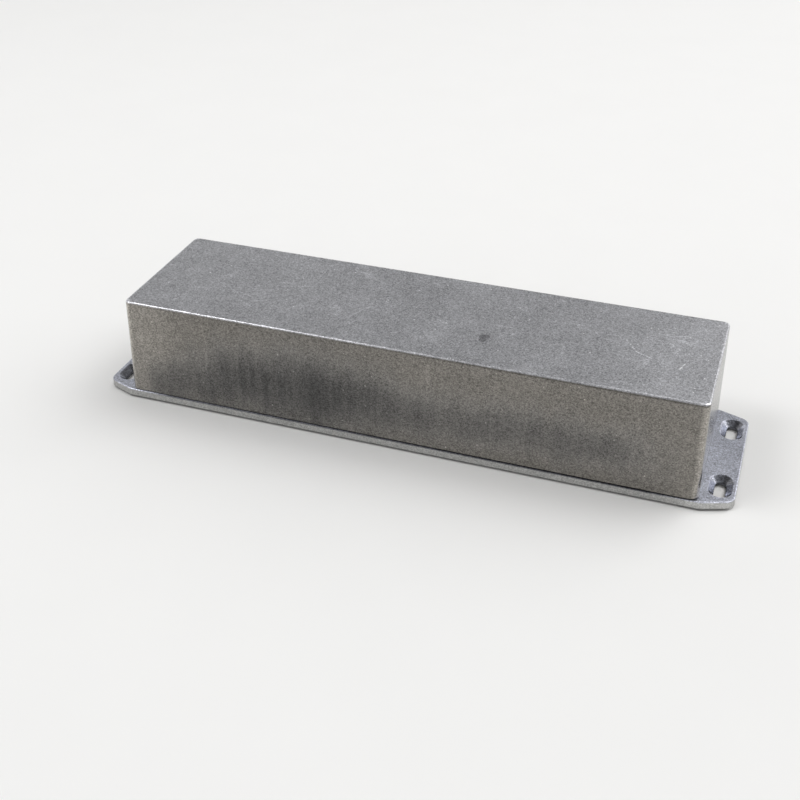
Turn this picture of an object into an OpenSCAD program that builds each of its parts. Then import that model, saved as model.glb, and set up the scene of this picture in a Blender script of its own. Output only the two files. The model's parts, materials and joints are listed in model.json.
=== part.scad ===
// Flanged die cast enclosure: a long drafted box, open below, on a lid that runs out
// past both ends as a mounting flange. The origin is the centre of the lid's underside.

/* [Box body] */
// Length of the box at its open rim
box_length = 256.8; // [180:0.2:320]
// Width of the box at its open rim
box_width = 71.2; // [56:0.2:110]
// Height of the box above the lid
box_height = 45.2; // [26:0.2:70]
// How far each side leans in between the rim and the top
draft_inset = 1.2; // [0.4:0.1:1.6]
// Radius of the upright corners at the rim
corner_radius = 3.8; // [2.9:0.1:6]
// Rounding of the edge round the top face
top_round = 0.9; // [0.3:0.1:1.1]
// Chamfer on the outer edge of the rim
rim_chamfer = 0.2; // [0.1:0.1:0.5]
// Height of the seam that shows between the rim and the lid
seam_height = 0.5; // [0.2:0.1:0.8]
// How far the seam runs in behind the outside of the rim
seam_depth = 1; // [0.6:0.1:1.2]
// Thickness of the side walls
wall = 2.3; // [1.8:0.1:3]
// Thickness of the top
top_thickness = 2.6; // [1.8:0.1:4]
// Fillet inside, where the walls meet the top
inner_fillet = 1.5; // [0.5:0.1:2]

/* [Screw bosses] */
// Radius of a corner boss at the rim
boss_radius = 4; // [3.4:0.1:5]
// Growth of the boss radius between the rim and the top
boss_draft = 0.6; // [0.2:0.1:1]
// How far a boss is sunk in each of its two walls
boss_overlap = 0.9; // [0.6:0.1:1.2]

/* [Lid] */
// Thickness of the lid and its flanges
lid_thickness = 3.9; // [3.4:0.1:6]
// How far the lid stands out past the long sides of the box
lid_overhang = 0.15; // [0:0.05:1]
// How far past the end of the box the flange starts to taper
flange_start = 0.1; // [0:0.1:3]
// How far the flange reaches past the end of the box
flange_reach = 14.1; // [12.4:0.1:24]
// How far the corner rounds at the end of the flange are set in from the long sides
flange_taper = 3.3; // [1:0.1:6]
// Radius of the corners at the end of the flange
flange_corner_radius = 5; // [2:0.1:7]
// Radius of the bend where the flange starts to taper
shoulder_radius = 4; // [2:0.5:12]
// Rounding of the lid's upper edge
lid_round = 0.5; // [0.2:0.1:0.8]
// Chamfer on the lid's lower edge
lid_chamfer = 0.5; // [0.1:0.1:0.8]
// How far the lid's edge leans in between its two faces
lid_draft = 0.15; // [0.05:0.05:0.4]

/* [Lip] */
// Height of the lip that stands inside the box
lip_height = 2.4; // [1.2:0.1:5]
// Thickness of the lip
lip_thickness = 1.8; // [1:0.1:3]
// Gap between the lip and the walls and bosses of the box
lip_gap = 0.3; // [0.2:0.05:0.5]

/* [Mounting slots] */
// Width of a slot
slot_width = 4.6; // [4.2:0.1:5.5]
// Length of a slot, over its round ends
slot_length = 10.9; // [7:0.1:14]
// Distance between the two slots of a flange, centre to centre
slot_spacing = 43; // [34:0.5:46]
// Distance from the slot's centre to the end of the flange
slot_edge = 6.65; // [6.2:0.05:7]
// How far the countersink runs out past the slot on each side
countersink_reach = 2.65; // [1:0.05:3]

/* [Lid screws] */
// Diameter of the screw's shank
screw_diameter = 3.5; // [2.5:0.1:4]
// Length of the screw, head included
screw_length = 12.7; // [9:0.1:18]
// Diameter of the countersunk head
head_diameter = 6.9; // [5.5:0.1:7.5]
// Height of the straight edge of the head
head_edge = 0.3; // [0.1:0.1:0.5]
// How far the head lies below the lid's underside
head_recess = 0.15; // [0.05:0.05:0.4]
// Radial clearance between the shank and its hole in the lid
screw_clearance = 0.3; // [0.1:0.05:0.5]
// Radial gap between the shank and its hole in the boss
thread_gap = 0.05; // [0.02:0.01:0.1]
// Gap between the head and its countersink
seat_gap = 0.05; // [0.02:0.01:0.1]
// Free depth of the boss hole past the screw's tip
hole_spare = 2; // [1:0.1:4]

/* [Hidden] */
$fn = 96;

// Cutters run this far past the faces that they open
cut_over = 1;
// Facets of the lid's corners and of the rounding round its edge
lid_corner_facets = 64;
lid_round_facets = 16;

cavity_height = box_height - top_thickness;
cavity_inset = draft_inset * cavity_height / box_height;
// The bosses fill the corners of the cavity, so its radius only has to hold its own fillet
cavity_radius = cavity_inset + 2 * inner_fillet;

boss_inset = wall + boss_radius - boss_overlap;
boss_x = box_length / 2 - boss_inset;
boss_y = box_width / 2 - boss_inset;
corner_signs = [[1, 1], [-1, 1], [-1, -1], [1, -1]];

flange_end_x = box_length / 2 + flange_reach;
shoulder_x = box_length / 2 + flange_start;
lid_half_width = box_width / 2 + lid_overhang;
flange_half_width = lid_half_width - flange_taper;
slot_x = flange_end_x - slot_edge;

screw_radius = screw_diameter / 2;
head_radius = head_diameter / 2;
cone_start = head_recess + head_edge;
screw_tip = head_recess + screw_length;
tip_chamfer = screw_radius / 4;
hole_depth = screw_tip - lid_thickness + hole_spare;
hole_radius = screw_radius + thread_gap;

// Section of a cast edge, from its corner's axis at x = 0 out to the radius: a seam, given as its
// depth and height, and a chamfer at the foot, a side that leans in by inset over the height, and
// a round at the top
module edge_section(radius, height, inset, round_radius, chamfer = 0, seam = [0, 0]) {
    lean = atan(inset / height);
    round_x = radius - inset * (height - round_radius) / height - round_radius / cos(lean);
    round_z = height - round_radius;
    side_z = seam.y + chamfer;
    step = seam.y == 0 ? [] : [[radius - seam.x, 0], [radius - seam.x, seam.y]];
    foot = chamfer == 0 ? [[radius, 0]] : [
        [radius - chamfer, seam.y],
        [radius - inset * side_z / height, side_z],
    ];
    polygon(concat([[0, 0]], step, foot, [
        [round_x + round_radius * cos(lean), round_z + round_radius * sin(lean)],
        [round_x, height],
        [0, height],
    ]));
    translate([round_x, round_z]) circle(round_radius);
}

// Rectangular cast block: a plain core, with one edge section extruded along each side
// and revolved round each corner
module cast_block(length, width, radius, height, inset, round_radius, chamfer = 0, seam = [0, 0]) {
    reach = [length / 2 - radius, width / 2 - radius];
    translate([-reach.x, -reach.y, 0]) cube([2 * reach.x, 2 * reach.y, height]);
    for (i = [0 : 3])
        rotate(90 * i) {
            corner = i % 2 == 0 ? reach : [reach.y, reach.x];
            translate(corner) {
                rotate_extrude(angle = 90)
                    edge_section(radius, height, inset, round_radius, chamfer, seam);
                rotate([90, 0, 0])
                    linear_extrude(2 * corner.y)
                        edge_section(radius, height, inset, round_radius, chamfer, seam);
            }
        }
}

// Inside of the box, without its bosses
module cavity() {
    length = box_length - 2 * wall;
    width = box_width - 2 * wall;
    cast_block(length, width, cavity_radius, cavity_height, cavity_inset, inner_fillet);
}

// Leaning post in one corner of the cavity, with the corner behind it filled
module boss(signs) {
    translate([signs.x * boss_x, signs.y * boss_y, 0]) {
        cylinder(h = cavity_height, r1 = boss_radius, r2 = boss_radius + boss_draft);
        translate([signs.x, signs.y, 0] * boss_inset / 2 + [0, 0, cavity_height / 2])
            cube([boss_inset, boss_inset, cavity_height], center = true);
    }
}

// Blind hole for a lid screw, with the cone that a drill leaves
module boss_hole() {
    translate([0, 0, -cut_over]) cylinder(h = hole_depth + cut_over, r = hole_radius);
    translate([0, 0, hole_depth]) cylinder(h = hole_radius / 2, r1 = hole_radius, r2 = 0);
}

module box_body() {
    color("#9b9b9c")
        translate([0, 0, lid_thickness])
            difference() {
                cast_block(
                    box_length, box_width, corner_radius, box_height, draft_inset, top_round, rim_chamfer,
                    [seam_depth, seam_height]
                );
                difference() {
                    cavity();
                    for (s = corner_signs) boss(s);
                }
                for (s = corner_signs) translate([s.x * boss_x, s.y * boss_y, 0]) boss_hole();
            }
}

// Corner of the lid plate, a disc with the lid's edge all round it
module lid_corner(radius) {
    rotate_extrude($fn = lid_corner_facets)
        edge_section(radius, lid_thickness, lid_draft, lid_round, lid_chamfer, $fn = lid_round_facets);
}

// Plate of the lid: straight along the box, then tapered to the rounded end of each flange
module lid_plate() {
    hull()
        for (s = corner_signs) {
            translate([s.x * shoulder_x, s.y * (lid_half_width - shoulder_radius), 0])
                lid_corner(shoulder_radius);
            translate([
                s.x * (flange_end_x - flange_corner_radius),
                s.y * (flange_half_width - flange_corner_radius),
                0,
            ])
                lid_corner(flange_corner_radius);
        }
}

// Plan of the lip's outer or inner side: the cavity at the rim, less a margin all round
module lip_plan(margin) {
    difference() {
        square([box_length - 2 * (wall + margin), box_width - 2 * (wall + margin)], center = true);
        for (s = corner_signs)
            translate([s.x * boss_x, s.y * boss_y]) {
                circle(boss_radius + margin);
                translate(s * boss_inset / 2) square(boss_inset, center = true);
            }
    }
}

// Lip that stands on the lid inside the box and steps round its bosses
module lip() {
    translate([0, 0, lid_thickness])
        linear_extrude(lip_height)
            difference() {
                lip_plan(lip_gap);
                lip_plan(lip_gap + lip_thickness);
            }
}

// Countersunk slot along Y, cut through the flange from above
module mounting_slot() {
    radius = slot_width / 2;
    straight = slot_length - slot_width;
    section = [
        [0, -cut_over],
        [radius, -cut_over],
        [radius, lid_thickness - countersink_reach],
        [radius + countersink_reach + cut_over, lid_thickness + cut_over],
        [0, lid_thickness + cut_over],
    ];
    for (half = [0, 180])
        rotate(half)
            translate([0, straight / 2, 0]) {
                rotate_extrude(angle = 180) polygon(section);
                rotate([90, 0, 0]) linear_extrude(straight) polygon(section);
            }
}

// Hole for a lid screw, countersunk from below
module lid_screw_hole() {
    shank = screw_radius + screw_clearance;
    head = head_radius + seat_gap;
    rotate_extrude()
        polygon([
            [0, -cut_over],
            [head, -cut_over],
            [head, cone_start],
            [shank, cone_start + head - shank],
            [shank, lid_thickness + cut_over],
            [0, lid_thickness + cut_over],
        ]);
}

module flanged_lid() {
    color("#a2a4a8")
        difference() {
            union() {
                lid_plate();
                lip();
            }
            for (s = corner_signs) {
                translate([s.x * slot_x, s.y * slot_spacing / 2, 0]) mounting_slot();
                translate([s.x * boss_x, s.y * boss_y, 0]) lid_screw_hole();
            }
        }
}

// One countersunk screw, head down
module lid_screw() {
    rotate_extrude()
        polygon([
            [0, head_recess],
            [head_radius, head_recess],
            [head_radius, cone_start],
            [screw_radius, cone_start + head_radius - screw_radius],
            [screw_radius, screw_tip - tip_chamfer],
            [screw_radius - tip_chamfer, screw_tip],
            [0, screw_tip],
        ]);
}

module lid_screws() {
    color("#8d8f93")
        for (s = corner_signs) translate([s.x * boss_x, s.y * boss_y, 0]) lid_screw();
}

box_body();
flanged_lid();
lid_screws();
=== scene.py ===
"""Looks of the flanged die cast enclosure: cast box and lid, plated screws, floor, light and camera."""

import json
import math
from functools import reduce

import bmesh
import bpy
from mathutils import Matrix, Vector


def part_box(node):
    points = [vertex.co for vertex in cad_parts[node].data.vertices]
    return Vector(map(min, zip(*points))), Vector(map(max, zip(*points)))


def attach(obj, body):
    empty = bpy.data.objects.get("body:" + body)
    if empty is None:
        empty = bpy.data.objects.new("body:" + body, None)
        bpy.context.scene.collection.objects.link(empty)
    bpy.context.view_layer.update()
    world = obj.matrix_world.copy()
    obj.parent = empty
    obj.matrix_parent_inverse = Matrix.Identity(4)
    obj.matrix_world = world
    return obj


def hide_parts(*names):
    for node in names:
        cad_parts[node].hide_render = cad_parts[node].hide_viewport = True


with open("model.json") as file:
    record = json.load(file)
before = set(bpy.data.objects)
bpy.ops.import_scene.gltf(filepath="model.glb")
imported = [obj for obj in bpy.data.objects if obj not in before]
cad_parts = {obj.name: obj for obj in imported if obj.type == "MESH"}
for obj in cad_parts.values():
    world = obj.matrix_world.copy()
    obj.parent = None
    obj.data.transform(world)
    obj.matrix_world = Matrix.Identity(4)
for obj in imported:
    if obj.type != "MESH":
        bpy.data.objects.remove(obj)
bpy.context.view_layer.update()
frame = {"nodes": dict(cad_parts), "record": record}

MM_PER_M = 1000.0

# Sizes of the box and the lid in millimetres, from the frame and from the part's source
box_low, box_high = (corner * MM_PER_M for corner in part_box("box_body"))
lid_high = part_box("flanged_lid")[1] * MM_PER_M
right_slots = frame["record"]["mounts"][0]
BOX_END, BOX_SIDE, BOX_TOP = box_high
BOX_FOOT = box_low.z
SIDE_DRAFT = 1.2
SIDE_LEAN = SIDE_DRAFT / (BOX_TOP - BOX_FOOT)
FLANGE_END, LID_SIDE = lid_high.xy
LID_TOP = BOX_FOOT
FLANGE_SLOPE = 0.29
FLANGE_SLOPE_COSINE = 0.96
SLOT_X = right_slots["pos_m"][0] * MM_PER_M
SLOT_Y = right_slots["dims"]["spacing_y_mm"] / 2
SLOT_RADIUS = right_slots["dims"]["hole_r_mm"]
SLOT_STRAIGHT = right_slots["dims"]["slot_length_mm"] / 2 - SLOT_RADIUS
COUNTERSINK_REACH = 2.65
SLOT_RIM = SLOT_RADIUS + COUNTERSINK_REACH

# Colours of the finishes
TOP_GREY = (0.438, 0.440, 0.460)
# The walls' grey, darker than the top, is partly cast skin and partly painted shade; the front wall's grey,
# darker and warmer still, is painted shade
WALL_GREY_WITH_PAINTED_SHADE = (0.312, 0.306, 0.294)
FRONT_PAINTED_SHADE_GREY = (0.304, 0.287, 0.262)
# Darker grey of the painted reflection in the front wall's cloudy band
PAINTED_REFLECTION_GREY = (0.290, 0.290, 0.294)
LID_GREY = (0.480, 0.495, 0.560)
LID_EDGE_GREY = (0.478, 0.478, 0.470)
ZINC_GREY = (0.45, 0.46, 0.47)
FLOOR_WHITE = (0.895, 0.892, 0.882)

# Places of a Mix node's sockets for colours
MIX_FACTOR, MIX_FIRST, MIX_SECOND, MIX_RESULT = 0, 6, 7, 2


def feed(node, inputs):
    """Link or set a node's input sockets, each given by its name or number."""
    for name, value in inputs.items():
        if isinstance(value, Shade):
            node.id_data.links.new(value.socket, node.inputs[name])
        else:
            node.inputs[name].default_value = value


class Shade:
    """A socket in a node tree. Operators on it add Math nodes, and add() makes any other node."""

    def __init__(self, tree, socket=None):
        self.tree = tree
        self.socket = socket

    def add(self, kind, settings, inputs, output=0):
        """An output of a new node, by its name or number, or a tuple of them for a tuple of names."""
        node = self.tree.nodes.new(kind)
        for name, value in settings.items():
            setattr(node, name, value)
        feed(node, inputs)
        if isinstance(output, tuple):
            return tuple(Shade(self.tree, node.outputs[name]) for name in output)
        return Shade(self.tree, node.outputs[output])

    def work_out(self, operation, first, second=0.0):
        """The result of a Math node on one or two values."""
        return self.add("ShaderNodeMath", {"operation": operation}, {0: first, 1: second})

    def __add__(self, other):
        return self.work_out("ADD", self, other)

    __radd__ = __add__

    def __sub__(self, other):
        return self.work_out("SUBTRACT", self, other)

    def __rsub__(self, other):
        return self.work_out("SUBTRACT", other, self)

    def __mul__(self, other):
        return self.work_out("MULTIPLY", self, other)

    __rmul__ = __mul__

    def __truediv__(self, other):
        return self.work_out("DIVIDE", self, other)

    def __pow__(self, other):
        return self.work_out("POWER", self, other)

    def __neg__(self):
        return self.work_out("MULTIPLY", self, -1.0)

    def __abs__(self):
        return self.work_out("ABSOLUTE", self)

    def over(self, other):
        """The larger of two values."""
        return self.work_out("MAXIMUM", self, other)

    def under(self, other):
        """The smaller of two values."""
        return self.work_out("MINIMUM", self, other)

    def rise(self, low, high):
        """0 below low, 1 above high, and a smooth step between them."""
        return self.add(
            "ShaderNodeMapRange",
            {"interpolation_type": "SMOOTHSTEP"},
            {"Value": self, "From Min": low, "From Max": high},
        )

    def fall(self, low, high):
        """1 below low, 0 above high, and a smooth step between them."""
        return 1.0 - self.rise(low, high)

    def swing(self, amount):
        """A value from 0 to 1, made a change round 0 that is this large from end to end."""
        return (self - 0.5) * amount

    def noise(self, scale, detail=2.0, roughness=0.5, distortion=0.0):
        """Cloudy noise at this place in millimetres, with features of about 1 / scale."""
        inputs = {
            "Vector": self,
            "Scale": scale,
            "Detail": detail,
            "Roughness": roughness,
            "Distortion": distortion,
        }
        return self.add("ShaderNodeTexNoise", {}, inputs, "Fac")

    def cells(self, scale):
        """Cells of about 1 / scale: distance from a cell's middle, and a random value for each cell."""
        inputs = {"Vector": self, "Scale": scale}
        distance, colour = self.add("ShaderNodeTexVoronoi", {}, inputs, ("Distance", "Color"))
        return distance, colour.parts()[0]

    def stretched(self, factors):
        """This place with its three parts multiplied."""
        inputs = {0: self, 1: factors}
        return self.add("ShaderNodeVectorMath", {"operation": "MULTIPLY"}, inputs, "Vector")

    def parts(self):
        """The three parts of a place or a colour."""
        return self.add("ShaderNodeSeparateXYZ", {}, {"Vector": self}, ("X", "Y", "Z"))

    def between(self, first, second):
        """The first colour where this value is 0, and the second where it is 1."""
        inputs = {MIX_FACTOR: self}
        for socket, colour in ((MIX_FIRST, first), (MIX_SECOND, second)):
            inputs[socket] = colour if isinstance(colour, Shade) else (*colour, 1.0)
        return self.add("ShaderNodeMix", {"data_type": "RGBA"}, inputs, MIX_RESULT)

    def of(self, colour):
        """A colour, multiplied by this value."""
        inputs = {0: colour, "Scale": self}
        return self.add("ShaderNodeVectorMath", {"operation": "SCALE"}, inputs, "Vector")

    def bump(self):
        """The normal of a surface with this height in millimetres."""
        return self.add("ShaderNodeBump", {}, {"Height": self, "Distance": 1.0 / MM_PER_M}, "Normal")


def new_finish(name):
    """A new material, its shader and the place on the part in millimetres."""
    material = bpy.data.materials.new(name)
    material.use_nodes = True
    shader = material.node_tree.nodes["Principled BSDF"]
    place = Shade(material.node_tree).add("ShaderNodeTexCoord", {}, {}, "Object")
    return material, shader, place.stretched((MM_PER_M, MM_PER_M, MM_PER_M))


def oval(x, y, centre, half, turn):
    """Distance from the middle of a turned oval, with 1 on its edge."""
    c, s = math.cos(math.radians(turn)), math.sin(math.radians(turn))
    along = ((x - centre[0]) * c + (y - centre[1]) * s) / half[0]
    across = ((y - centre[1]) * c - (x - centre[0]) * s) / half[1]
    return (along * along + across * across) ** 0.5


def line(x, y, start, end):
    """Distance from a straight line between two points."""
    run = Vector(end) - Vector(start)
    length = run.length
    run.normalize()
    along = (x - start[0]) * run.x + (y - start[1]) * run.y
    across = (y - start[1]) * run.x - (x - start[0]) * run.y
    past = abs(along - length / 2) - length / 2
    return abs(across).over(past)


# Cast skin: how far its layers swing the tone and the roughness, and their heights in millimetres
SKIN_TONE = {"facet": 0.70, "grain": 0.85, "speckle": 0.32, "blotch": 0.30, "cloud": 0.34}
SKIN_ROUGHNESS = {"cloud": 0.14, "speckle": 0.20}
SKIN_HEIGHT = {"grain": 0.036, "speckle": 0.032, "blotch": 0.020}
MEAN_ROUGHNESS = 0.40
FLECK_EDGE = (0.06, 0.13)
FLECK_CHOICE = (0.55, 0.65)


class CastSkin:
    """Tumbled skin of both castings: tiny facets, fine grain, speckle, nicks, flecks and soft clouds."""

    def __init__(self, place):
        self.speckle = place.noise(scale=0.75)
        self.blotch = place.noise(scale=0.14, detail=3.0, roughness=0.6)
        self.nicks = place.noise(scale=0.55, detail=3.0, roughness=0.65)
        layers = {
            "facet": place.cells(scale=2.3)[1],
            "grain": place.noise(scale=1.5, roughness=0.6),
            "speckle": self.speckle,
            "blotch": self.blotch,
            "cloud": place.noise(scale=0.032, detail=4.0, roughness=0.55, distortion=0.4),
        }
        tones = (layers[name].swing(amount) for name, amount in SKIN_TONE.items())
        dullness = (layers[name].swing(amount) for name, amount in SKIN_ROUGHNESS.items())
        self.tone = sum(tones, 1.0)
        self.roughness = sum(dullness, MEAN_ROUGHNESS)
        self.height = sum(layers[name] * amount for name, amount in SKIN_HEIGHT.items())
        from_middle, choice = place.cells(scale=0.30)
        self.fleck = from_middle.fall(*FLECK_EDGE) * choice.rise(*FLECK_CHOICE)


# Faces of the box: distances past them, and places across the box, between which their looks come in
TOP_BLEND = (-1.0, -0.3)
END_BLEND = (-2.0, -0.4)
FRONT_BLEND = (30.0, 33.0)


class BoxFaces:
    """Place on the box, its distances past the leaning walls and the top, and masks of its faces."""

    def __init__(self, place):
        self.x, self.y, self.z = place.parts()
        self.above_foot = self.z - BOX_FOOT
        lean = self.above_foot * SIDE_LEAN
        self.past_end = abs(self.x) - (BOX_END - lean)
        self.past_side = abs(self.y) - (BOX_SIDE - lean)
        self.past_top = self.z - BOX_TOP
        self.top = self.past_top.rise(*TOP_BLEND)
        self.walls = 1.0 - self.top
        self.ends = self.past_end.rise(*END_BLEND) * self.walls
        self.front_side = (-self.y).rise(*FRONT_BLEND)
        self.front = self.front_side * self.walls


# Wear and painted highlight on the box: where they lie, in millimetres past the faces or along the box, and
# how strong they are
EDGE_BLEND = (-1.2, -0.5)
CORNER_BLEND = (-3.4, -1.2)
HIGHLIGHT_RUN = (-70.0, 30.0)
EDGE_NICKED = 0.22
EDGE_PAINTED_HIGHLIGHT = 0.42
CORNER_WEAR_AND_HIGHLIGHT = 0.58
CORNER_NICKED = 0.36


def box_wear_and_highlight(faces, nick):
    """Top edges, and how bright they and the corners are from wear and a painted highlight. The painted
    highlight is strongest on the left of the box.
    """
    edge = faces.past_end.over(faces.past_side).rise(*EDGE_BLEND) * faces.past_top.rise(*EDGE_BLEND)
    corner = faces.past_end.rise(*CORNER_BLEND) * faces.past_side.rise(*CORNER_BLEND)
    # Painted highlight: the top edges are brightest on the left
    painted_highlight = faces.x.fall(*HIGHLIGHT_RUN)
    on_edge = edge * (nick * EDGE_NICKED + painted_highlight * EDGE_PAINTED_HIGHLIGHT)
    return edge, on_edge + corner * (CORNER_WEAR_AND_HIGHLIGHT + nick * CORNER_NICKED)


# Painted reflection on the front wall, a dark cloudy band and a veil: places along and up it in
# millimetres, and shares of darkening
REFLECTION_FACTORS = (1.0, 1.0, 0.3)
UPRIGHT_FACTORS = (1.0, 1.0, 0.06)
REFLECTION_DRIFT_ALONG = 30.0
REFLECTION_DRIFT_UP = 16.0
SWELL_START = (-115.0, -60.0)
SWELL_END = (-40.0, 25.0)
BAND_LOW = 8.0
BAND_CLIMB = 13.0
BAND_CLIMB_RUN = (-125.0, -65.0)
BAND_HALF = 10.5
BAND_HALF_SWELL = 6.5
BAND_FADE = (0.1, 1.9)
BAND_DARK = 0.46
BAND_DARK_SWELL = 0.20
BAND_START = (-130.0, -114.0)
BAND_END = (92.0, 126.0)
STREAK_FADE = (0.38, 0.62)
STREAK_LEAST = 0.93
STREAK_MORE = 0.14
VEIL_START = (-124.0, -92.0)
VEIL_DARK = 0.27
VEIL_DARK_SWELL = 0.06


def painted_front_reflection(place, faces):
    """Painted dark reflection on the front wall: a cloudy band with upright streaks, and how far it and a
    veil darken the wall.
    """
    streaky = place.stretched(REFLECTION_FACTORS)
    along = faces.x + streaky.noise(scale=0.045, detail=3.0, roughness=0.6).swing(REFLECTION_DRIFT_ALONG)
    up = faces.z + streaky.noise(scale=0.07, detail=4.0, roughness=0.65).swing(REFLECTION_DRIFT_UP)
    swell = along.rise(*SWELL_START) * along.fall(*SWELL_END)
    middle = BAND_LOW + along.rise(*BAND_CLIMB_RUN) * BAND_CLIMB
    half = BAND_HALF + swell * BAND_HALF_SWELL
    reflection_band = (abs(up - middle) / half).fall(*BAND_FADE) * (BAND_DARK + swell * BAND_DARK_SWELL)
    band_streaks = place.stretched(UPRIGHT_FACTORS).noise(scale=0.38).rise(*STREAK_FADE)
    reflection_band = reflection_band * along.rise(*BAND_START) * along.fall(*BAND_END) * (STREAK_LEAST + band_streaks * STREAK_MORE)
    veil = faces.x.rise(*VEIL_START) * (VEIL_DARK + swell * VEIL_DARK_SWELL)
    return reflection_band * faces.front, reflection_band.over(veil) * faces.front


# Marks on top in millimetres: a stain's ovals by middle, half sizes and turn, and the ends of scratches
STAIN_OVALS = (
    ((31.3, -12.2), (2.8, 2.0), 35.0),
    ((31.2, -15.0), (1.7, 2.1), 10.0),
)
STAIN_RAGGED = 0.8
STAIN_EDGE = (0.75, 1.05)
SCRATCHES = (
    ((86.9, 5.9), (93.5, -3.5)),
    ((93.5, -3.5), (99.8, -6.8)),
    ((112.2, -11.3), (114.2, -4.1)),
)
SCRATCH_EDGE = (0.12, 0.50)
SCRATCH_FAINT = 0.35
SCRATCH_BREAKS = (0.40, 0.56)


def top_marks(faces, skin):
    """A stain with a ragged outline, and fine broken scratches, on top of the box."""
    in_stain = reduce(Shade.under, (oval(faces.x, faces.y, *shape) for shape in STAIN_OVALS))
    stain = (in_stain + skin.speckle.swing(STAIN_RAGGED)).fall(*STAIN_EDGE) * faces.top
    to_scratch = reduce(Shade.under, (line(faces.x, faces.y, *ends) for ends in SCRATCHES))
    broken = SCRATCH_FAINT + skin.speckle.rise(*SCRATCH_BREAKS) * (1.0 - SCRATCH_FAINT)
    return stain, to_scratch.fall(*SCRATCH_EDGE) * broken * faces.top


# Stain and painted shade on the box: heights above its foot or past its top, places along it, and shares of
# darkening
SEAM_FADE = (0.3, 0.8)
SEAM_PAINTED_SHADE = 0.6
STAIN_DARK = 0.48
LINE_FOOT = (-1.7, -1.1)
LINE_HEAD = (-0.8, -0.4)
LINE_DARK = 0.16
LINE_DARKER = 0.28
LINE_DARKER_RUN = (-60.0, 70.0)


def box_stain_and_painted_shade(faces, stain):
    """Share of the tone left by painted shade in the seam, a painted dark reflection under the front's top
    edge, and the stain.
    """
    # Painted shade in the seam: the lowest part of the walls is darkened
    seam_shade = faces.above_foot.fall(*SEAM_FADE)
    # Painted dark reflection: a thin line under the front's top edge, darker towards the right
    under_edge = faces.past_top.rise(*LINE_FOOT) * faces.past_top.fall(*LINE_HEAD) * faces.front_side
    painted_reflection_line = under_edge * (LINE_DARK + faces.x.rise(*LINE_DARKER_RUN) * LINE_DARKER)
    return (1.0 - stain * STAIN_DARK) * (1.0 - seam_shade * SEAM_PAINTED_SHADE) * (1.0 - painted_reflection_line)


# Box finish: rubbed patches, wisps and a painted sheen at the right end on top, upright scuffs on the
# walls, and how bright each wear is
BOX_NICKS = (0.48, 0.64)
NICK_HEIGHT = 0.03
PATCH_FACTORS = (1.0, 0.25, 1.0)
PATCH_SWING = 0.26
RIGHT_END_RUN = (50.0, 120.0)
RIGHT_END_PAINTED_SHEEN = 0.10
WISP_EDGE = (0.002, 0.020)
WISP_CHOICE = (0.48, 0.62)
WISP_BRIGHT = 0.26
SCUFF_CHOICE = (0.64, 0.74)
SCUFF_BRIGHT = 0.30
SCRATCH_BRIGHT = 0.60
WEAR_AND_HIGHLIGHT_BRIGHT = 0.8
WEAR_SMOOTHER = 0.12
STAIN_ROUGHER = 0.08
ENDS_SMOOTHER = 0.18


def box_casting():
    """Box finish: cool tumbled top, warmer walls partly painted shade, a cloudy painted reflection in
    front, worn edges with painted highlight.
    """
    material, shader, place = new_finish("box_casting")
    faces = BoxFaces(place)
    skin = CastSkin(place)
    nick = skin.nicks.rise(*BOX_NICKS)
    edge, wear_and_highlight = box_wear_and_highlight(faces, nick)
    reflection_band, painted_reflection = painted_front_reflection(place, faces)
    stain, scratch = top_marks(faces, skin)

    patches = place.stretched(PATCH_FACTORS).noise(scale=0.055, detail=3.0, roughness=0.6)
    # Painted sheen: the top grows paler towards its right end
    painted_sheen = faces.x.rise(*RIGHT_END_RUN) * RIGHT_END_PAINTED_SHEEN
    wisp = abs(place.noise(scale=0.035, distortion=1.2).swing(1.0)).fall(*WISP_EDGE)
    wisp = wisp * place.noise(scale=0.06).rise(*WISP_CHOICE)
    rubbed_and_sheen = (patches.swing(PATCH_SWING) + painted_sheen + wisp * WISP_BRIGHT) * faces.top
    scuff = place.stretched(UPRIGHT_FACTORS).noise(scale=0.16).rise(*SCUFF_CHOICE)
    scuff = scuff * faces.walls * skin.blotch
    bright = 1.0 + wear_and_highlight * WEAR_AND_HIGHLIGHT_BRIGHT + scratch * SCRATCH_BRIGHT + skin.fleck + scuff * SCUFF_BRIGHT
    # The painted reflection darkens the front wall's tone
    tone = (skin.tone + rubbed_and_sheen) * (1.0 - painted_reflection) * box_stain_and_painted_shade(faces, stain) * bright
    walls = reflection_band.between(faces.front.between(WALL_GREY_WITH_PAINTED_SHADE, FRONT_PAINTED_SHADE_GREY), PAINTED_REFLECTION_GREY)
    smoother = wear_and_highlight * WEAR_SMOOTHER + faces.ends * ENDS_SMOOTHER
    feed(
        shader,
        {
            "Base Color": tone.of(faces.top.between(walls, TOP_GREY)),
            "Roughness": skin.roughness + stain * STAIN_ROUGHER - smoother,
            "Normal": (skin.height + nick * edge * NICK_HEIGHT).bump(),
            "Metallic": 1.0,
        },
    )
    return material


def past_outline(x, y):
    """Distance past the lid's outline, with the tapered sides of its flanges."""
    taper = ((abs(x) - BOX_END) * FLANGE_SLOPE + (abs(y) - LID_SIDE)) * FLANGE_SLOPE_COSINE
    return (abs(x) - FLANGE_END).over(abs(y) - LID_SIDE).over(taper)


def past_slot(x, y):
    """Distance from the rim of the nearest countersunk slot, below 0 inside it."""
    past = (abs(abs(y) - SLOT_Y) - SLOT_STRAIGHT).over(0.0)
    aside = abs(x) - SLOT_X
    return (past * past + aside * aside) ** 0.5 - SLOT_RIM


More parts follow.
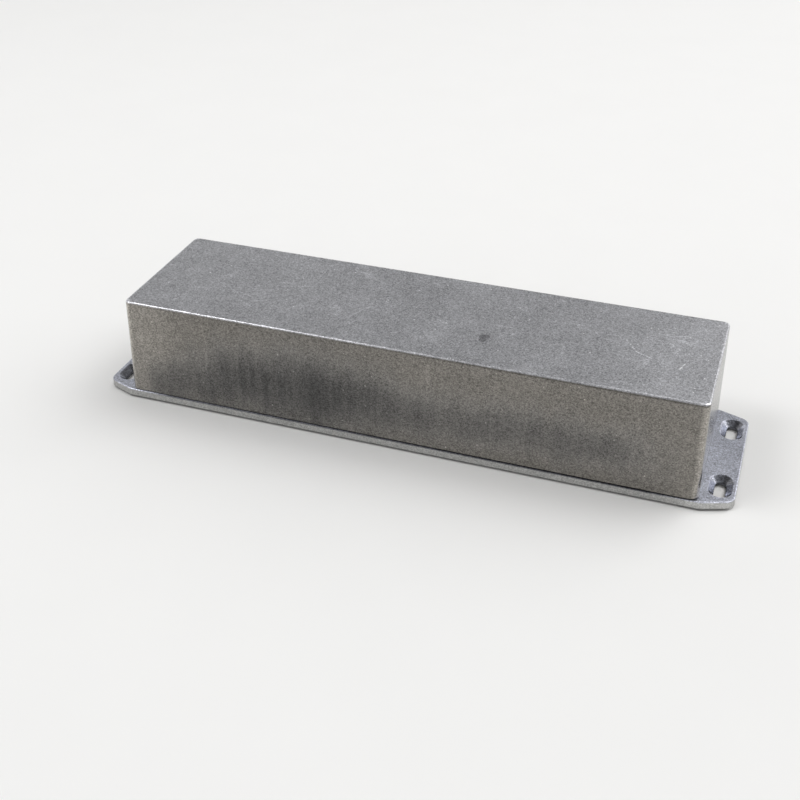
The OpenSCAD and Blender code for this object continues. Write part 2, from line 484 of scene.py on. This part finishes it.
# Lid finish: heights above its underside or past its top, distances past its outline, its slots' rims
# and the ends of the box, all in millimetres, and shares of wear, painted highlight and painted shade
LID_NICKS = (0.46, 0.62)
LID_NICK_HEIGHT = 0.05
RIM_EDGE = (-0.9, -0.3)
RIM_TOP = (-0.8, -0.3)
RIM_RUN = (-8.0, 0.0)
RIM_WEAR_AND_HIGHLIGHT = 0.15
RIM_NICKED = 0.45
MOUTH_EDGE = (0.1, 0.5)
MOUTH_TOP = (-0.6, -0.1)
MOUTH_RUBBED = 0.2
MOUTH_NICKED = 0.4
SEAM_TOP = (-0.7, -0.3)
SEAM_RUN = (-22.0, -4.0)
LID_SEAM_PAINTED_SHADE = 0.75
FOOT_FADE = (0.35, 0.95)
FOOT_EDGE = (-0.9, -0.5)
FOOT_PAINTED_SHADE = 0.82
HOLLOW_EDGE = (-2.75, -2.25)
HOLLOW_FOOT = (0.0, 0.2)
HOLLOW_PAINTED_SHADE = 0.86
SUNK_EDGE = (-0.5, -0.1)
SUNK_FOOT = (0.1, 0.6)
SUNK_PAINTED_SHADE = 0.16
SUNK_SMOOTHER = 0.16
FLAT_TOP = (-0.7, -0.1)
FLAT_SLOT_EDGE = (0.0, 0.4)
EDGE_SWING = 0.6
LID_WEAR_AND_HIGHLIGHT_BRIGHT = 0.7
LID_WEAR_SMOOTHER = 0.10
LID_FLECK_BRIGHT = 0.5
LID_SMOOTHER = 0.04


def lid_casting():
    """Finish of the lid: cooler than the box, with worn edges, partly painted highlight, round the flange
    and its slots, and painted shade in its seam, along its foot and in its slots.
    """
    material, shader, place = new_finish("lid_casting")
    x, y, z = place.parts()
    skin = CastSkin(place)
    nick = skin.nicks.rise(*LID_NICKS)
    past_top = z - LID_TOP
    past_box = abs(x) - BOX_END
    rim = past_outline(x, y)
    slot = past_slot(x, y)

    edge = rim.rise(*RIM_EDGE) * past_top.rise(*RIM_TOP) * past_box.rise(*RIM_RUN)
    mouth = abs(slot).fall(*MOUTH_EDGE) * past_top.rise(*MOUTH_TOP)
    # The even brightening along the rim is a painted highlight, and the nicked part is wear
    wear_and_highlight = edge * (RIM_WEAR_AND_HIGHLIGHT + nick * RIM_NICKED) + mouth * (MOUTH_RUBBED + nick * MOUTH_NICKED)

    # Painted shade in the seam along the lid's top, under the box's long walls
    seam_shade = past_top.rise(*SEAM_TOP) * past_box.fall(*SEAM_RUN)
    # Painted shade along the lid's foot
    foot = z.fall(*FOOT_FADE) * rim.rise(*FOOT_EDGE)
    # Painted shade on the slots' lands and in their countersinks
    hollow = slot.fall(*HOLLOW_EDGE) * z.rise(*HOLLOW_FOOT)
    sunk = slot.fall(*SUNK_EDGE) * z.rise(*SUNK_FOOT)
    painted_shade = (seam_shade * LID_SEAM_PAINTED_SHADE).over(foot * FOOT_PAINTED_SHADE)
    painted_shade = painted_shade.over(hollow * HOLLOW_PAINTED_SHADE).over(sunk * SUNK_PAINTED_SHADE)

    flat = past_top.rise(*FLAT_TOP).over(slot.fall(*FLAT_SLOT_EDGE) * z.rise(*SUNK_FOOT))
    even = 1.0 + (skin.tone - 1.0) * (EDGE_SWING + flat * (1.0 - EDGE_SWING))
    tone = even * (1.0 + wear_and_highlight * LID_WEAR_AND_HIGHLIGHT_BRIGHT + skin.fleck * LID_FLECK_BRIGHT) * (1.0 - painted_shade)
    smoother = LID_SMOOTHER + wear_and_highlight * LID_WEAR_SMOOTHER + sunk * SUNK_SMOOTHER
    feed(
        shader,
        {
            "Base Color": tone.of(flat.between(LID_EDGE_GREY, LID_GREY)),
            "Roughness": skin.roughness - smoother,
            "Normal": (skin.height + nick * edge * LID_NICK_HEIGHT).bump(),
            "Metallic": 1.0,
        },
    )
    return material


# Zinc plate: how its fine grain moves the tone, the roughness and the height in millimetres
ZINC_TONE, ZINC_TONE_GRAIN = 0.85, 0.3
ZINC_ROUGHNESS, ZINC_ROUGHNESS_GRAIN = 0.26, 0.16
ZINC_HEIGHT = 0.012


def screw_steel():
    """Bright zinc plate on steel."""
    material, shader, place = new_finish("screw_steel")
    grain = place.noise(scale=3.0, detail=3.0)
    feed(
        shader,
        {
            "Base Color": (ZINC_TONE + grain * ZINC_TONE_GRAIN).of(ZINC_GREY),
            "Roughness": ZINC_ROUGHNESS + grain * ZINC_ROUGHNESS_GRAIN,
            "Normal": (grain * ZINC_HEIGHT).bump(),
            "Metallic": 1.0,
        },
    )
    return material


# Floor paint: its tone, how far soft clouds lift it, and its roughness
FLOOR_TONE, FLOOR_TONE_CLOUD = 0.99, 0.02
FLOOR_ROUGHNESS = 0.8


def floor_paint():
    """Pale matt paint, very slightly uneven."""
    material, shader, place = new_finish("floor_paint")
    feed(
        shader,
        {
            "Base Color": (FLOOR_TONE + place.noise(scale=0.02) * FLOOR_TONE_CLOUD).of(FLOOR_WHITE),
            "Roughness": FLOOR_ROUGHNESS,
            "Specular IOR Level": 0.0,
        },
    )
    return material


def dress(node, material):
    """Give a CAD node this finish alone."""
    finishes = frame["nodes"][node].data.materials
    finishes.clear()
    finishes.append(material)


def put_in_scene(name, data):
    """A new object in the scene for a mesh, lamp or camera."""
    made = bpy.data.objects.new(name, data)
    bpy.context.scene.collection.objects.link(made)
    return made


def finished_piece(name, bm, material):
    """A piece at the origin with the shape of a bmesh, which is freed, and one finish."""
    mesh = bpy.data.meshes.new(name)
    bm.to_mesh(mesh)
    bm.free()
    mesh.materials.append(material)
    return put_in_scene(name, mesh)


# Sizes of a screw in millimetres, with heights above the face of its head, and the steps of its round forms
screw_low, screw_high = (corner * MM_PER_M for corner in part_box("lid_screws"))
HEAD_FACE, SCREW_TIP = screw_low.z, screw_high.z
HEAD_RADIUS = 3.45
HEAD_BEVEL = 0.12
HEAD_BAND = 0.30
HEAD_DEPTH = 2.2
NECK_WIDER = 0.25
NECK_END = 3.2
TIP_NARROWER = 0.35
TIP_LENGTH = 0.5
BLANK_STEPS = 48
WELD_DISTANCE = 0.0001
RECESS_MOUTH = 2.2
CROSS_REACH = 1.9
CROSS_HALF = 0.5
CROSS_DEPTH = 1.9
CROSS_FOOT = 0.55
THREAD_ROOT = 1.35
THREAD_CREST = 1.70
THREAD_START = 3.3
PLAIN_TIP = 0.9
PITCH = 0.79
RIDGE_SUNK = 0.1
RIDGE_WIDTH = 0.6
CREST_LOW, CREST_HIGH = 0.26, 0.34
TURN_STEPS = 24
SHARP_ANGLE = 35.0

# Place of each screw, and the angle in degrees at which it stopped
SCREW_X = screw_high.x - HEAD_RADIUS
SCREW_Y = screw_high.y - HEAD_RADIUS
SCREW_PLACES = (
    (SCREW_X, SCREW_Y, 12.0),
    (-SCREW_X, SCREW_Y, 71.0),
    (-SCREW_X, -SCREW_Y, 40.0),
    (SCREW_X, -SCREW_Y, 83.0),
)


def of_kind(items, kind):
    """The vertices, edges or faces among the items that an operator gives back."""
    return [item for item in items if isinstance(item, kind)]


def chain(bm, points, closed=False):
    """Vertices and edges along points in a plane through the screw's axis, given as radius and height."""
    verts = [bm.verts.new((radius, 0.0, height)) for radius, height in points]
    nexts = verts[1:] + (verts[:1] if closed else [])
    return verts, [bm.edges.new(pair) for pair in zip(verts, nexts)]


def turned_blank(bm):
    """Head, neck and core of a screw, upright and head down. Gives the open edge in the head's face."""
    verts, edges = chain(
        bm,
        (
            (0.0, SCREW_TIP),
            (THREAD_ROOT - TIP_NARROWER, SCREW_TIP),
            (THREAD_ROOT, SCREW_TIP - TIP_LENGTH),
            (THREAD_ROOT, HEAD_FACE + NECK_END),
            (THREAD_ROOT + NECK_WIDER, HEAD_FACE + HEAD_DEPTH),
            (HEAD_RADIUS, HEAD_FACE + HEAD_BAND),
            (HEAD_RADIUS, HEAD_FACE + HEAD_BEVEL),
            (HEAD_RADIUS - HEAD_BEVEL, HEAD_FACE),
            (RECESS_MOUTH, HEAD_FACE),
        ),
    )
    bmesh.ops.spin(
        bm,
        geom=verts + edges,
        axis=(0.0, 0.0, 1.0),
        angle=math.tau,
        steps=BLANK_STEPS,
        use_merge=True,
    )
    bmesh.ops.remove_doubles(bm, verts=bm.verts, dist=WELD_DISTANCE)
    return [edge for edge in bm.edges if edge.is_boundary]


def cross_recess(bm, mouth):
    """Face of the head round a tapered cross, and the cross sunk into it."""
    arm = ((CROSS_REACH, -CROSS_HALF), (CROSS_REACH, CROSS_HALF), (CROSS_HALF, CROSS_HALF))
    verts = []
    for quarter in range(4):
        turn = Matrix.Rotation(math.tau * quarter / 4, 3, "Z")
        verts += [bm.verts.new(turn @ Vector((x, y, HEAD_FACE))) for x, y in arm]
    cross = [bm.edges.new((verts[i - 1], verts[i])) for i in range(len(verts))]
    bmesh.ops.triangle_fill(bm, edges=mouth + cross)
    walls = bmesh.ops.extrude_edge_only(bm, edges=cross)["geom"]
    foot = of_kind(walls, bmesh.types.BMVert)
    bmesh.ops.scale(bm, verts=foot, vec=(CROSS_FOOT, CROSS_FOOT, 1.0))
    bmesh.ops.translate(bm, verts=foot, vec=(0.0, 0.0, CROSS_DEPTH))
    rim = [edge for edge in of_kind(walls, bmesh.types.BMEdge) if edge.is_boundary]
    bmesh.ops.triangle_fill(bm, edges=rim)


def thread(bm):
    """Closed helical ridge round the core."""
    start = HEAD_FACE + THREAD_START
    turns = int((SCREW_TIP - PLAIN_TIP - start) / PITCH)
    steps = TURN_STEPS * turns
    foot = THREAD_ROOT - RIDGE_SUNK
    verts, edges = chain(
        bm,
        (
            (foot, start),
            (THREAD_CREST, start + CREST_LOW),
            (THREAD_CREST, start + CREST_HIGH),
            (foot, start + RIDGE_WIDTH),
        ),
        closed=True,
    )
    spun = bmesh.ops.spin(
        bm,
        geom=verts + edges,
        axis=(0.0, 0.0, 1.0),
        dvec=(0.0, 0.0, turns * PITCH / steps),
        angle=math.tau * turns,
        steps=steps,
    )
    for end in (edges, of_kind(spun["geom_last"], bmesh.types.BMEdge)):
        bmesh.ops.contextual_create(bm, geom=end)


def lid_screws():
    """The four countersunk screws that hold the lid, each turned as it stopped when driven home."""
    bm = bmesh.new()
    cross_recess(bm, turned_blank(bm))
    thread(bm)
    bmesh.ops.recalc_face_normals(bm, faces=bm.faces)
    blank = bm.verts[:] + bm.edges[:] + bm.faces[:]
    for x, y, turn in SCREW_PLACES:
        copy = bmesh.ops.duplicate(bm, geom=blank)["geom"]
        verts = of_kind(copy, bmesh.types.BMVert)
        bmesh.ops.rotate(bm, verts=verts, matrix=Matrix.Rotation(math.radians(turn), 3, "Z"))
        bmesh.ops.translate(bm, verts=verts, vec=(x, y, 0.0))
    bmesh.ops.delete(bm, geom=blank, context="VERTS")
    bmesh.ops.scale(bm, verts=bm.verts, vec=(1.0 / MM_PER_M, 1.0 / MM_PER_M, 1.0 / MM_PER_M))
    made = finished_piece("cross_head_screws", bm, screw_steel())
    made.data.shade_smooth()
    made.data.set_sharp_from_angle(angle=math.radians(SHARP_ANGLE))
    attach(made, "root")
    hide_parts("lid_screws")


# Floor: its sizes in metres, and the sides of its round outline
FLOOR_RADIUS = 2.4
FLOOR_DROP = 0.0004
FLOOR_SIDES = 96


def floor():
    """Round pale floor just under the lid."""
    bm = bmesh.new()
    bmesh.ops.create_circle(bm, cap_ends=True, segments=FLOOR_SIDES, radius=FLOOR_RADIUS)
    bmesh.ops.translate(bm, verts=bm.verts, vec=(0.0, 0.0, -FLOOR_DROP))
    made = finished_piece("floor", bm, floor_paint())


def look_along(made, direction):
    """Turn a lamp or the camera to look along a direction."""
    made.rotation_euler = direction.to_track_quat("-Z", "Y").to_euler()


def soft_lamp(name, place, width, power):
    """A square lamp that faces the middle of the part."""
    light = bpy.data.lights.new(name, "AREA")
    light.shape = "SQUARE"
    light.size = width
    light.energy = power
    lamp = put_in_scene(name, light)
    lamp.location = place
    look_along(lamp, -Vector(place))


# Room: its brightness on each side, and the parts of a direction between which each side comes in
ROOM_DIM = 0.16
ROOM_BACK = 0.49
ROOM_FRONT = 0.70
ROOM_LEFT = 0.48
ROOM_RIGHT = 0.36
WALL_FADE = (0.0, 0.9)
FRONT_FADE = (0.05, 0.45)
CEILING_FADE = (0.2, 0.9)

# Lamps: name, place and width in metres, and power in watts
LAMPS = (
    ("window", (1.60, 1.30, 2.00), 2.8, 30.5),
    ("skylight", (0.90, 0.70, 2.50), 2.2, 25.0),
    ("left_lamp", (-1.10, -0.50, 1.70), 0.8, 12.0),
)


def studio():
    """Pale room with a dim ceiling, two soft lamps at the back right and a small one at the front left."""
    world = bpy.data.worlds.new("studio")
    bpy.context.scene.world = world
    world.use_nodes = True
    direction = Shade(world.node_tree).add("ShaderNodeTexCoord", {}, {}, "Generated")
    x, y, z = direction.parts()
    back = y.rise(*WALL_FADE) * ROOM_BACK
    front = (-y).rise(*WALL_FADE) * z.rise(*FRONT_FADE) * ROOM_FRONT
    left = (-x).rise(*WALL_FADE) * ROOM_LEFT
    right = x.rise(*WALL_FADE) * ROOM_RIGHT
    level = ROOM_DIM + z.fall(*CEILING_FADE) * (back + front + left + right)
    feed(world.node_tree.nodes["Background"], {"Color": (1.0, 1.0, 1.0, 1.0), "Strength": level})
    for lamp in LAMPS:
        soft_lamp(*lamp)


# Camera: lens and sensor in millimetres, its aim and distance in metres, and its angles in degrees
LENS = 53.823
SENSOR_WIDTH = 36.0
NEAREST_SEEN = 0.01
CAMERA_AIM = (0.0017309, -0.0346606, 0.025)
CAMERA_DISTANCE = 0.5033925
CAMERA_TURN = 19.209
CAMERA_RISE = 33.1518


def camera():
    """Camera at the front right, looking down at the box."""
    data = bpy.data.cameras.new("camera")
    data.lens = LENS
    data.sensor_width = SENSOR_WIDTH
    data.clip_start = NEAREST_SEEN
    made = put_in_scene("camera", data)
    turn, rise = math.radians(CAMERA_TURN), math.radians(CAMERA_RISE)
    back = Vector((math.sin(turn) * math.cos(rise), -math.cos(turn) * math.cos(rise), math.sin(rise)))
    made.location = Vector(CAMERA_AIM) + back * CAMERA_DISTANCE
    look_along(made, -back)
    bpy.context.scene.camera = made


dress("box_body", box_casting())
dress("flanged_lid", lid_casting())
lid_screws()
floor()
studio()
camera()
bpy.context.scene.view_settings.view_transform = "Standard"
